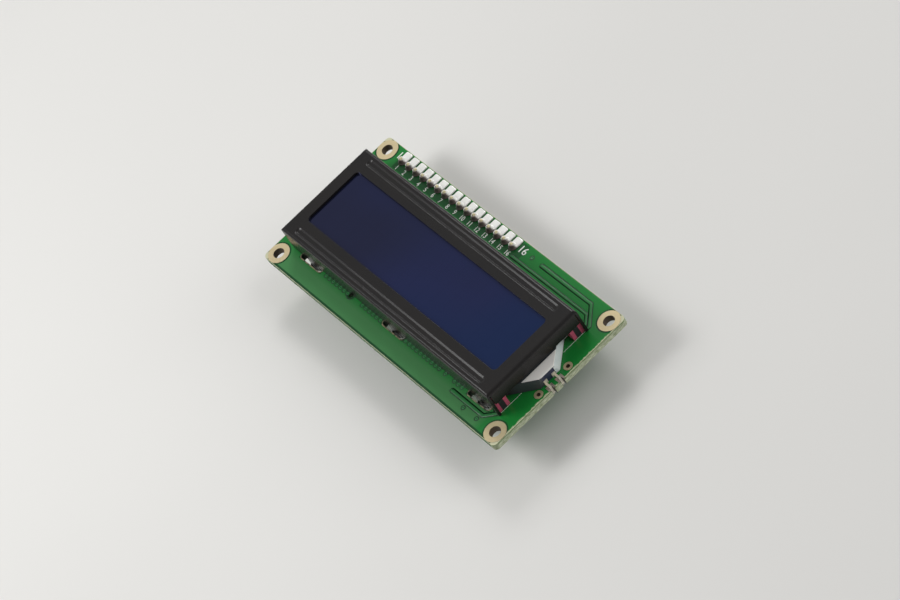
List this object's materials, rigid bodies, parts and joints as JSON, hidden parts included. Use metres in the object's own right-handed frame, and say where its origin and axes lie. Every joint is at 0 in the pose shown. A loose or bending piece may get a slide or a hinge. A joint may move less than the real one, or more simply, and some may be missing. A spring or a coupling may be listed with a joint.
{
  "type": "character lcd module",
  "caption": "Character display module: a green circuit board carrying a black metal bezel with a dark blue window, a side-lit backlight and a straight row of header pins.",
  "frame": {"origin": "middle of the four mounting holes, on the circuit board's top face, the face that carries the display", "axes": "+X along the board's long side with pin 1 at its low end, +Y towards the edge with the header, +Z out of the display"},
  "size_m": [0.08, 0.036, 0.0171],
  "materials": {
    "board": "glass-fibre epoxy board under green solder mask, cream at its cut edges",
    "gold_plating": "pale immersion gold over copper",
    "tinned_plating": "tin-coated copper",
    "pin_metal": "tinned brass, square drawn",
    "header_plastic": "moulded black polyamide",
    "solder": "bright fresh solder",
    "bezel_paint": "pressed steel, satin black stoving paint",
    "polarizer": "dark blue polarizing film, glossy",
    "cell_glass": "float glass with clear electrodes",
    "seal_epoxy": "cured epoxy seal",
    "zebra_core": "black conductive silicone in fine layers",
    "zebra_foam": "pink insulating silicone",
    "light_guide": "cast acrylic, satin white",
    "white_film": "white reflecting and diffusing polyester film",
    "dark_tape": "dark opaque film tape",
    "lamp_body": "dark blue moulded lamp housing",
    "phosphor": "yellow phosphor in silicone",
    "lead_metal": "tinned copper strip",
    "resin": "poured black epoxy",
    "resistor_body": "alumina under a black glaze",
    "capacitor_body": "fired tan ceramic"
  },
  "bodies": {
    "root": {"pcb": "board", "mounting_hole_rings": "gold_plating", "spare_large_ring": "gold_plating", "spare_lamp_rings": "gold_plating", "tab_slot_plating": "gold_plating", "lamp_edge_pads": "tinned_plating", "header_pads": "tinned_plating", "header_pins": "pin_metal", "header_strip": "header_plastic", "header_solder": "solder", "bezel": "bezel_paint", "front_polarizer": "polarizer", "front_glass": "cell_glass", "cell_seal": "seal_epoxy", "rear_glass": "cell_glass", "rear_polarizer": "polarizer", "header_side_zebra_core": "zebra_core", "header_side_zebra_foam": "zebra_foam", "front_side_zebra_core": "zebra_core", "front_side_zebra_foam": "zebra_foam", "contact_pads": "gold_plating", "light_guide": "light_guide", "nose_film": "white_film", "nose_root_tape": "dark_tape", "reflector_film": "white_film", "diffuser_film": "white_film", "nose_tape": "dark_tape", "lamp_body": "lamp_body", "lamp_phosphor": "phosphor", "lamp_leads": "lead_metal", "lamp_solder": "solder", "controller_dome": "resin", "driver_dome": "resin", "chip_resistors": "resistor_body", "chip_capacitors": "capacitor_body", "chip_end_caps": "tinned_plating", "chip_solder": "solder", "chip_pads": "tinned_plating"}
  },
  "joints": []
}
